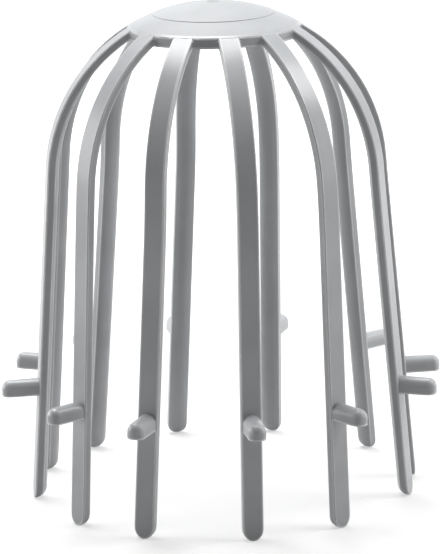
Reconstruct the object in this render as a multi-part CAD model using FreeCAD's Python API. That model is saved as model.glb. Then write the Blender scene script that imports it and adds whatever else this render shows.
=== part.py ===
"""Downpipe leaf filter: one plastic moulding, a domed cap with legs arching down from it.

The legs stand inside the mouth of a downpipe and the peg on each leg rests on the pipe's rim.
Millimetres and degrees. Z is the axis of the dome, and the leg tips stand on Z = 0.
One leg is drawn along X, in the plane Y = 0, and then repeated round the axis.
The small rounds on the legs and pegs are drawn as narrow flats, which keeps the cage light.
"""
import FreeCAD, Part
import math
import os

from FreeCAD import Vector

# Dome and cap
OVERALL_HEIGHT = 127.0
DOME_RADIUS = 44.0
CAP_RADIUS = 21.9
CAP_THICKNESS = 2.2
CAP_RIM_BEVEL = 0.25
DISC_RADIUS = 15.4
DISC_STEP = 0.12
GATE_RADIUS = 1.7
GATE_DEPTH = 0.7

# Legs: a strip with a crowned back, which runs out into the strip at the cap
TIP_CIRCLE_RADIUS = 50.0
LEG_WIDTH = 5.2
LEG_WALL = 2.0
LEG_DEPTH = 3.2
LEG_BEVEL = 0.25
CROWN_SINK = 0.25
TIP_LENGTH = 3.0
SLOT_CORNER_RADIUS = 0.8
FIRST_LEG_ANGLE = 15.0

# Sideways set of each leg, anticlockwise seen from above; zeros give the part as it was drawn.
# The leg bends by its set below the knee, and its arch is turned round the axis by a share of it.
LEG_LEANS = [-3.0, -1.5, 2.0, 2.5, 2.5, 0.5, 0.0, 1.0, -2.0, -1.0, -2.0, 2.0]
LEAN_BEND_LENGTH = 12.0
ARCH_SHARE = 0.35

# Pegs: flat underneath, round on top, with a little draft towards the end
PEG_END_RADIUS = 57.2
PEG_UNDERSIDE = 27.7
PEG_WIDTH = 4.7
PEG_HEIGHT = 4.1
PEG_DRAFT = 1.0
PEG_END_ROUND = 1.9

# Flats that stand for each round
CROWN_FLATS = 5
TIP_FLATS = 5
PEG_TOP_FLATS = 8
PEG_END_FLATS = 5

# How far one form runs into the next, and the least step that counts as a step
LAP = 1.0
FINE = 0.03

AXIS = Vector(0, 0, 1)
SIDEWAYS = Vector(0, 1, 0)

# The leg's flat outer face is let in until its corners lie just under the skin of the dome
half_width = LEG_WIDTH / 2
leg_radius = math.sqrt(DOME_RADIUS**2 - half_width**2) - FINE
dome_centre = AXIS * (OVERALL_HEIGHT - DISC_STEP - DOME_RADIUS)

# The straight leg touches its arch at the knee and ends on the tip circle
tip = Vector(TIP_CIRCLE_RADIUS, 0, 0)
reach = (tip - dome_centre).Length
flare = math.acos(leg_radius / reach) - math.atan2(dome_centre.z, TIP_CIRCLE_RADIUS)
outward = Vector(math.cos(flare), 0, math.sin(flare))
down_leg = Vector(math.sin(flare), 0, -math.cos(flare))
knee = dome_centre + outward * leg_radius
leg_length = (tip - knee).Length


def flat_face(points):
    return Part.Face(Part.makePolygon(points + points[:1]))


def skin(rings):
    """Solid between the first ring of points and the last, which may be a single point."""
    faces = [flat_face(rings[0])]
    for ring, following in zip(rings, rings[1:]):
        for here in range(len(ring)):
            after = (here + 1) % len(ring)
            far = [following[after], following[here]] if len(following) > 1 else following
            faces.append(flat_face([ring[here], ring[after]] + far))
    if len(rings[-1]) > 1:
        faces.append(flat_face(rings[-1]))
    shell = Part.makeShell(faces)
    shell.sewShape()
    return Part.makeSolid(shell)


def around(shape, number):
    """Copy of a leg, or of a piece of one, at its place round the axis."""
    placed = shape.copy()
    even_place = FIRST_LEG_ANGLE + 360 / len(LEG_LEANS) * number
    placed.rotate(Vector(), AXIS, even_place + ARCH_SHARE * LEG_LEANS[number])
    return placed


def ball(radius):
    """Ball about the centre of the dome, with its poles to the sides."""
    return Part.makeSphere(radius, dome_centre, SIDEWAYS)


def dome_height(radius):
    """Height of the dome's skin at a distance from the axis."""
    return dome_centre.z + math.sqrt(DOME_RADIUS**2 - radius**2)


def cap_blank():
    """Turned blank as wide as the cap, coned at the top to bevel the cap's rim."""
    rim_low = dome_height(CAP_RADIUS) - CAP_RIM_BEVEL
    slope = (dome_height(CAP_RADIUS - CAP_RIM_BEVEL) - rim_low) / CAP_RIM_BEVEL
    point = AXIS * (rim_low + CAP_RADIUS * slope)
    edge = Vector(CAP_RADIUS, 0, 0)
    profile = [dome_centre, dome_centre + edge, AXIS * rim_low + edge, point]
    return flat_face(profile).revolve(Vector(), AXIS, 360)


def cap():
    """Domed cap with a bevelled rim, a faint raised disc and the dimple left by the gate."""
    disc_ball = DOME_RADIUS + DISC_STEP
    disc = Part.makeCylinder(DISC_RADIUS, disc_ball, dome_centre).common(ball(disc_ball))
    lid = cap_blank().common(ball(DOME_RADIUS)).fuse(disc)
    dimple_ball = (GATE_RADIUS**2 + GATE_DEPTH**2) / (2 * GATE_DEPTH)
    dimple_centre = dome_centre + AXIS * (disc_ball - GATE_DEPTH + dimple_ball)
    dimple = Part.makeSphere(dimple_ball, dimple_centre, SIDEWAYS)
    return lid.cut(ball(DOME_RADIUS - CAP_THICKNESS)).cut(dimple)


def crown_corners():
    """Corners of the leg's crowned back, as depth below the outer face and distance sideways."""
    rise = LEG_DEPTH - LEG_WALL
    radius = (half_width**2 + rise**2) / (2 * rise)
    spread = math.acos((radius - rise) / radius)
    angles = [spread - 2 * spread * flat / CROWN_FLATS for flat in range(CROWN_FLATS + 1)]
    return [(LEG_DEPTH - radius + radius * math.cos(angle), radius * math.sin(angle)) for angle in angles]


def strip_corners():
    """Corners of the strip's outer face and bevels, in the same terms."""
    face_half = half_width - LEG_BEVEL
    return [(LEG_BEVEL, -half_width), (0, -face_half), (0, face_half), (LEG_BEVEL, half_width)]


def leg_ring(corners, share=1.0, along=0.0):
    """Section of the leg, drawn in towards the outer face by a share, at a distance below the knee."""
    middle = knee + down_leg * along
    return [middle - outward * depth * share + SIDEWAYS * side * share for depth, side in corners]


def arch_strip():
    """Outer part of the arch: a strip that follows the dome from the knee to inside the cap's rim."""
    root = math.acos((CAP_RADIUS - LAP) / leg_radius)
    walls = [(LEG_WALL, half_width), (LEG_WALL, -half_width)]
    section = flat_face(leg_ring(strip_corners() + walls))
    return section.revolve(dome_centre, SIDEWAYS, -math.degrees(root - flare))


def arch_crown():
    """Crowned back of the arch: full height at the knee, just sunk into the strip at the cap's edge."""
    crest = leg_radius - LEG_DEPTH
    sunk = leg_radius - LEG_WALL + CROWN_SINK
    swing = math.acos(CAP_RADIUS / leg_radius) - flare
    offset = (sunk**2 - crest**2) / (2 * (sunk * math.cos(swing) - crest))
    turn = math.atan2(sunk * math.sin(swing), sunk * math.cos(swing) - offset)
    backs = [(LEG_WALL / 4, -half_width), (LEG_WALL / 4, half_width)]
    section = flat_face(leg_ring(crown_corners() + backs))
    crown = section.revolve(dome_centre + outward * offset, SIDEWAYS, -math.degrees(turn))
    # Nothing of the crown reaches past the middle of the strip
    core_radius = leg_radius - LEG_WALL / 2
    core = Part.makeCylinder(core_radius, LEG_WIDTH, dome_centre - SIDEWAYS * half_width, SIDEWAYS)
    return crown.common(core)


def dome():
    """Cap and arches in one, with the inner corners of the slots rounded."""
    arch = arch_strip().fuse(arch_crown()).removeSplitter()
    arches = [around(arch, number) for number in range(len(LEG_LEANS))]
    top = around(cap(), 0).multiFuse(arches).removeSplitter()
    return top.makeFillet(SLOT_CORNER_RADIUS, [edge for edge in top.Edges if is_slot_corner(edge)])


def is_slot_corner(edge):
    """True for an upright edge where the side of a leg meets the cap's rim."""
    box = edge.BoundBox
    upright = max(box.XLength, box.YLength) < FINE and box.ZLength > CAP_THICKNESS / 2
    return upright and abs(math.hypot(box.XMin, box.YMin) - CAP_RADIUS) < FINE


def peg_ring(radius, inset):
    """Outline of a peg at a distance from the axis: flat below, straight sides, round top."""
    half = PEG_WIDTH / 2 - inset
    middle = Vector(radius, 0, PEG_UNDERSIDE + PEG_HEIGHT - PEG_WIDTH / 2)
    angles = [math.pi * flat / PEG_TOP_FLATS for flat in range(PEG_TOP_FLATS + 1)]
    top = [middle + Vector(0, math.cos(angle), math.sin(angle)) * half for angle in angles]
    return top + [Vector(radius, -half, PEG_UNDERSIDE), Vector(radius, half, PEG_UNDERSIDE)]


def peg():
    """Peg on the outer face of a leg, its end rounded over the top and sides."""
    start = knee.x + (knee.z - PEG_UNDERSIDE - PEG_HEIGHT) * math.tan(flare) - LAP
    draft = math.tan(math.radians(PEG_DRAFT))
    rings = [peg_ring(start, 0)]
    for flat in range(PEG_END_FLATS + 1):
        turn = math.pi / 2 * flat / PEG_END_FLATS
        radius = PEG_END_RADIUS - PEG_END_ROUND * (1 - math.sin(turn))
        rings.append(peg_ring(radius, (radius - start) * draft + PEG_END_ROUND * (1 - math.cos(turn))))
    return skin(rings)


def straight_leg():
    """Leg below the bend, with its rounded tip and its peg, still in line with the arch."""
    corners = strip_corners() + crown_corners()
    rings = [leg_ring(corners, 1.0, LEAN_BEND_LENGTH)]
    for flat in range(TIP_FLATS):
        turn = math.pi / 2 * flat / TIP_FLATS
        along = leg_length - TIP_LENGTH * (1 - math.sin(turn))
        rings.append(leg_ring(corners, math.cos(turn), along))
    return skin(rings + [[tip]]).fuse(peg())


def leaning_leg(leg, lean):
    """Leg bent sideways below the knee over the length of the bend, and straight from there on."""
    section = flat_face(leg_ring(strip_corners() + crown_corners()))
    if lean == 0:
        return leg.fuse(section.extrude(down_leg * LEAN_BEND_LENGTH))
    hinge = knee + SIDEWAYS * (LEAN_BEND_LENGTH / math.radians(lean))
    bend = section.revolve(hinge, outward, lean)
    lower = leg.copy()
    lower.translate(down_leg * -LEAN_BEND_LENGTH)
    lower.rotate(hinge, outward, lean)
    return lower.fuse(bend)


def main():
    leg = straight_leg()
    legs = [around(leaning_leg(leg, lean), number) for number, lean in enumerate(LEG_LEANS)]
    cage = dome().multiFuse(legs).removeSplitter()
    os.makedirs("parts", exist_ok=True)
    cage.exportStep("parts/filter_cage.step")


main()
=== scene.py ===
"""Looks of the downpipe leaf filter: satin grey plastic on a white floor, seen as in the photograph.

Metres and degrees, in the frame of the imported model: Z is the axis of the dome and the leg tips
stand on Z = 0.
"""
import math

import bpy
from mathutils import Matrix, Vector

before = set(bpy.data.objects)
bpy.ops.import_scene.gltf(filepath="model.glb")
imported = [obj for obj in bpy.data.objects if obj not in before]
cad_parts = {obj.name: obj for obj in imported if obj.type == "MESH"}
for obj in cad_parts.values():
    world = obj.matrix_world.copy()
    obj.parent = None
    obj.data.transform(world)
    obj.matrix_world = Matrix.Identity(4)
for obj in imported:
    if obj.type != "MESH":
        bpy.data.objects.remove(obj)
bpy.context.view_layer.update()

# Photograph
IMAGE_HEIGHT = 554
SENSOR = 36.0
FOCAL_PIXELS = 3300.9
CAMERA_DISTANCE = 0.8263
CAMERA_HEIGHT = 0.2560
CAMERA_SIDE_STEP = 0.0002
CAMERA_AZIMUTH = 4.94
CAMERA_PITCH = 13.65
CAMERA_ROLL = -1.29

# Plastic: colour
GREY_DARK = (0.380, 0.390, 0.403, 1.0)
GREY_LIGHT = (0.438, 0.450, 0.465, 1.0)
# Pale grey painted along the outer edges as a painted highlight, in place of light caught by rounded edges
EDGE_HIGHLIGHT_GREY = (0.88, 0.88, 0.88, 1.0)
EDGE_HIGHLIGHT_WIDTH = 0.00045
EDGE_HIGHLIGHT_LIMITS = (0.88, 0.98)
EDGE_HIGHLIGHT_SAMPLES = 8
EDGE_HIGHLIGHT_SHARE = 0.65
MOTTLE_SCALE = 60.0
MOTTLE_DETAIL = 5.0

# Plastic: gloss and relief
PLASTIC_IOR = 1.5
NOISE_SPAN = (0.3, 0.7)
LEG_ROUGHNESS = (0.285, 0.31)
STREAKS_PER_TURN = 320.0
STREAK_LENGTH = 0.03
STREAK_DETAIL = 3.0
STREAK_HEIGHT = 0.000001
CAP_ROUGHNESS = (0.50, 0.60)
CAP_FINISH_RADIUS = 0.0209
CAP_FINISH_BLEND = 0.0002
GRAIN_SCALE = 3200.0
GRAIN_DETAIL = 2.0
GRAIN_HEIGHT = 0.00003
RELIEF_STRENGTH = 0.3
RELIEF_DISTANCE = 1.0

# Shading of the mesh
SOFT_EDGE_ANGLE = 25.0
WELD_DISTANCE = 0.000001

# Studio
FLOOR_SIZE = 6.0
FLOOR_WHITE = (0.51, 0.51, 0.51, 1.0)
FLOOR_GLOW = 0.50
FLOOR_NEAR = 0.10
FLOOR_FAR = 0.45
ROOM_WHITE = (1.0, 1.0, 1.0, 1.0)
ROOM_LIGHT = 0.03
LIGHT_AIM = (0.0, 0.0, 0.07)
TOP_SOFTBOX = {"place": (-0.12, 0.23, 0.80), "width": 0.50, "height": 0.50, "watts": 7.7}
RIGHT_SOFTBOX = {"place": (0.53, 0.10, 0.65), "width": 0.30, "height": 0.26, "watts": 2.5}
RIGHT_PANEL = {"place": (0.90, 0.20, 0.12), "width": 1.0, "height": 0.8, "watts": 6.0}
LEFT_PANEL = {"place": (-0.90, 0.18, 0.08), "width": 1.0, "height": 0.8, "watts": 10.0}


def add_node(tree, kind, **settings):
    node = tree.nodes.new(kind)
    for name, value in settings.items():
        setattr(node, name, value)
    return node


def feed(tree, socket, value):
    """Puts a plain value, or what another node puts out, on a socket."""
    if isinstance(value, bpy.types.NodeSocket):
        tree.links.new(value, socket)
    else:
        socket.default_value = value


def reckon(tree, operation, *values):
    """Works out one step of arithmetic on one or two values."""
    node = add_node(tree, "ShaderNodeMath", operation=operation)
    for socket, value in zip(node.inputs, values):
        feed(tree, socket, value)
    return node.outputs["Value"]


def rescale(tree, value, start, end):
    """Takes a value from one range, smoothly and with its ends held, to another."""
    node = add_node(tree, "ShaderNodeMapRange", interpolation_type="SMOOTHSTEP")
    feed(tree, node.inputs["Value"], value)
    for socket, limit in zip(("From Min", "From Max", "To Min", "To Max"), start + end):
        feed(tree, node.inputs[socket], limit)
    return node.outputs["Result"]


def noise(tree, place, scale, detail):
    node = add_node(tree, "ShaderNodeTexNoise")
    feed(tree, node.inputs["Vector"], place)
    feed(tree, node.inputs["Scale"], scale)
    feed(tree, node.inputs["Detail"], detail)
    return node.outputs["Fac"]


def blend(tree, kind, share, first, second):
    """Mix of two colours or two numbers by a share."""
    node = add_node(tree, "ShaderNodeMix", data_type=kind)
    sockets = [socket for socket in node.inputs if socket.enabled]
    for socket, value in zip(sockets, (share, first, second)):
        feed(tree, socket, value)
    return next(socket for socket in node.outputs if socket.enabled)


def bare_material(name):
    material = bpy.data.materials.new(name)
    material.use_nodes = True
    material.node_tree.nodes.clear()
    return material, material.node_tree


def place_on_cage(tree):
    """Point on the cage, its distance from the axis, its turn about the axis, and its way down a leg."""
    point = add_node(tree, "ShaderNodeTexCoord").outputs["Object"]
    axes = add_node(tree, "ShaderNodeSeparateXYZ")
    feed(tree, axes.inputs["Vector"], point)
    across, along, height = axes.outputs
    squares = [reckon(tree, "POWER", value, 2.0) for value in (across, along)]
    radius = reckon(tree, "SQRT", reckon(tree, "ADD", *squares))
    turn = reckon(tree, "ARCTAN2", along, across)
    down = reckon(tree, "SUBTRACT", radius, height)
    return point, radius, turn, down


def leg_marks(tree, turn, down):
    """Marks along a leg, which keep the leg's place round the axis, on its arch too."""
    lengthwise = add_node(tree, "ShaderNodeCombineXYZ")
    feed(tree, lengthwise.inputs["X"], reckon(tree, "MULTIPLY", turn, STREAKS_PER_TURN / math.tau))
    feed(tree, lengthwise.inputs["Y"], reckon(tree, "DIVIDE", down, STREAK_LENGTH))
    return noise(tree, lengthwise.outputs["Vector"], 1.0, STREAK_DETAIL)


def edge_highlight_mask(tree):
    """Nearly 1 on the outer edges of the moulding, where there is little plastic under the skin; it places
    the painted highlight along those edges.
    """
    thin = add_node(tree, "ShaderNodeAmbientOcclusion", samples=EDGE_HIGHLIGHT_SAMPLES, inside=True, only_local=True)
    thin.inputs["Distance"].default_value = EDGE_HIGHLIGHT_WIDTH
    return rescale(tree, thin.outputs["AO"], EDGE_HIGHLIGHT_LIMITS, (1.0, 0.0))


def plastic_colour(tree, mottle, on_cap):
    """Mottled grey, with a painted highlight of pale grey along the edges except within the cap."""
    grey = blend(tree, "RGBA", rescale(tree, mottle, NOISE_SPAN, (0.0, 1.0)), GREY_DARK, GREY_LIGHT)
    highlight_share = rescale(tree, on_cap, (0.0, 1.0), (EDGE_HIGHLIGHT_SHARE, 0.0))
    # Painted highlight: the outer edges are paled in the base colour
    painted_highlight = reckon(tree, "MULTIPLY", edge_highlight_mask(tree), highlight_share)
    return blend(tree, "RGBA", painted_highlight, grey, EDGE_HIGHLIGHT_GREY)


def plastic_roughness(tree, streaks, mottle, on_cap):
    """Glossy legs, with a little change of gloss along the marks, and a matt cap."""
    leg_sheen = rescale(tree, streaks, NOISE_SPAN, LEG_ROUGHNESS)
    cap_sheen = rescale(tree, mottle, NOISE_SPAN, CAP_ROUGHNESS)
    return blend(tree, "FLOAT", on_cap, leg_sheen, cap_sheen)


def plastic_relief(tree, streaks, grain, on_cap):
    """Faint marks on the legs and a fine grain on the cap."""
    leg_relief = reckon(tree, "MULTIPLY", streaks, STREAK_HEIGHT)
    cap_relief = reckon(tree, "MULTIPLY", grain, GRAIN_HEIGHT)
    bump = add_node(tree, "ShaderNodeBump")
    bump.inputs["Strength"].default_value = RELIEF_STRENGTH
    bump.inputs["Distance"].default_value = RELIEF_DISTANCE
    feed(tree, bump.inputs["Height"], blend(tree, "FLOAT", on_cap, leg_relief, cap_relief))
    return bump.outputs["Normal"]


def grey_plastic():
    """Moulded plastic: glossy legs with faint marks along them, a matt cap, and a painted highlight of
    pale grey along the edges.
    """
    material, tree = bare_material("grey_plastic")
    point, radius, turn, down = place_on_cage(tree)
    finish = (CAP_FINISH_RADIUS - CAP_FINISH_BLEND, CAP_FINISH_RADIUS + CAP_FINISH_BLEND)
    on_cap = rescale(tree, radius, finish, (1.0, 0.0))
    streaks = leg_marks(tree, turn, down)
    mottle = noise(tree, point, MOTTLE_SCALE, MOTTLE_DETAIL)
    grain = noise(tree, point, GRAIN_SCALE, GRAIN_DETAIL)

    surface = add_node(tree, "ShaderNodeBsdfPrincipled")
    surface.inputs["IOR"].default_value = PLASTIC_IOR
    feed(tree, surface.inputs["Base Color"], plastic_colour(tree, mottle, on_cap))
    feed(tree, surface.inputs["Roughness"], plastic_roughness(tree, streaks, mottle, on_cap))
    feed(tree, surface.inputs["Normal"], plastic_relief(tree, streaks, grain, on_cap))
    output = add_node(tree, "ShaderNodeOutputMaterial")
    feed(tree, output.inputs["Surface"], surface.outputs["BSDF"])
    return material


def soft_edge_group():
    """Geometry group that shades every edge smooth that is blunter than a limit."""
    group = bpy.data.node_groups.new("soft_edges", "GeometryNodeTree")
    group.interface.new_socket("Geometry", in_out="INPUT", socket_type="NodeSocketGeometry")
    group.interface.new_socket("Geometry", in_out="OUTPUT", socket_type="NodeSocketGeometry")
    start = add_node(group, "NodeGroupInput")
    finish = add_node(group, "NodeGroupOutput")
    faces = add_node(group, "GeometryNodeSetShadeSmooth", domain="FACE")
    edges = add_node(group, "GeometryNodeSetShadeSmooth", domain="EDGE")
    angle = add_node(group, "GeometryNodeInputMeshEdgeAngle")
    blunt = add_node(group, "FunctionNodeCompare", data_type="FLOAT", operation="LESS_EQUAL")
    feed(group, faces.inputs["Geometry"], start.outputs["Geometry"])
    feed(group, edges.inputs["Geometry"], faces.outputs["Geometry"])
    feed(group, blunt.inputs["A"], angle.outputs["Unsigned Angle"])
    feed(group, blunt.inputs["B"], math.radians(SOFT_EDGE_ANGLE))
    feed(group, edges.inputs["Shade Smooth"], blunt.outputs["Result"])
    feed(group, finish.inputs["Geometry"], edges.outputs["Geometry"])
    return group


def dress_cage(cage):
    """Gives the moulding its plastic, and lets the flats of its rounds shade as rounds."""
    cage.data.materials.clear()
    cage.data.materials.append(grey_plastic())
    weld = cage.modifiers.new("weld", "WELD")
    weld.merge_threshold = WELD_DISTANCE
    soft = cage.modifiers.new("soft_edges", "NODES")
    soft.node_group = soft_edge_group()
    weighted = cage.modifiers.new("flat_faces", "WEIGHTED_NORMAL")
    weighted.mode = "FACE_AREA"
    weighted.keep_sharp = True


def seen_directly(tree):
    """Value of 1 for rays that come straight from the camera or by way of a gloss or glass."""
    path = add_node(tree, "ShaderNodeLightPath")
    by_gloss = reckon(tree, "MAXIMUM", path.outputs["Is Glossy Ray"], path.outputs["Is Transmission Ray"])
    return reckon(tree, "MAXIMUM", path.outputs["Is Camera Ray"], by_gloss)


def white_floor():
    """White floor that keeps the shadows of the legs and grows whiter away from them."""
    bpy.ops.mesh.primitive_plane_add(size=FLOOR_SIZE)
    floor = bpy.context.object
    floor.name = "floor"
    material, tree = bare_material("floor_white")
    matt = add_node(tree, "ShaderNodeBsdfDiffuse")
    matt.inputs["Color"].default_value = FLOOR_WHITE
    distance = add_node(tree, "ShaderNodeVectorMath", operation="LENGTH")
    feed(tree, distance.inputs[0], add_node(tree, "ShaderNodeTexCoord").outputs["Object"])
    whiter = rescale(tree, distance.outputs["Value"], (FLOOR_NEAR, FLOOR_FAR), (FLOOR_GLOW, 1.0))
    glow = add_node(tree, "ShaderNodeEmission")
    feed(tree, glow.inputs["Strength"], reckon(tree, "MULTIPLY", seen_directly(tree), whiter))
    both = add_node(tree, "ShaderNodeAddShader")
    feed(tree, both.inputs[0], matt.outputs["BSDF"])
    feed(tree, both.inputs[1], glow.outputs["Emission"])
    output = add_node(tree, "ShaderNodeOutputMaterial")
    feed(tree, output.inputs["Surface"], both.outputs["Shader"])
    floor.data.materials.append(material)


def white_room():
    """White all round for what is seen, and a low even light for the rest."""
    world = bpy.data.worlds.new("white_room")
    bpy.context.scene.world = world
    world.use_nodes = True
    tree = world.node_tree
    tree.nodes.clear()
    background = add_node(tree, "ShaderNodeBackground")
    background.inputs["Color"].default_value = ROOM_WHITE
    level = rescale(tree, seen_directly(tree), (0.0, 1.0), (ROOM_LIGHT, 1.0))
    feed(tree, background.inputs["Strength"], level)
    output = add_node(tree, "ShaderNodeOutputWorld")
    feed(tree, output.inputs["Surface"], background.outputs["Background"])


def softbox(name, place, width, height, watts):
    """Soft light that faces the middle of the cage."""
    light = bpy.data.lights.new(name, "AREA")
    light.shape = "RECTANGLE"
    light.size = width
    light.size_y = height
    light.energy = watts
    box = bpy.data.objects.new(name, light)
    bpy.context.scene.collection.objects.link(box)
    box.location = place
    box.rotation_euler = (Vector(LIGHT_AIM) - Vector(place)).to_track_quat("-Z", "Y").to_euler()


def add_lights():
    """Bright box overhead and a little behind, one high on the right, and a white panel on each side."""
    softbox("top_softbox", **TOP_SOFTBOX)
    softbox("right_softbox", **RIGHT_SOFTBOX)
    softbox("right_panel", **RIGHT_PANEL)
    softbox("left_panel", **LEFT_PANEL)


def add_camera():
    """Camera at the photograph's place, a little turned about its own line of sight."""
    data = bpy.data.cameras.new("photo_camera")
    data.sensor_fit = "AUTO"
    data.sensor_width = SENSOR
    data.lens = FOCAL_PIXELS / IMAGE_HEIGHT * SENSOR
    data.dof.use_dof = False
    camera = bpy.data.objects.new("photo_camera", data)
    bpy.context.scene.collection.objects.link(camera)
    turn = Matrix.Rotation(math.radians(CAMERA_AZIMUTH), 4, "Z")
    tilt = Matrix.Rotation(math.radians(90 - CAMERA_PITCH), 4, "X")
    roll = Matrix.Rotation(math.radians(CAMERA_ROLL), 4, "Z")
    place = Matrix.Translation(turn @ Vector((CAMERA_SIDE_STEP, -CAMERA_DISTANCE, CAMERA_HEIGHT)))
    camera.matrix_world = place @ turn @ tilt @ roll
    bpy.context.scene.camera = camera


bpy.context.scene.view_settings.view_transform = "Standard"
dress_cage(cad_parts["filter_cage"])
white_floor()
white_room()
add_lights()
add_camera()
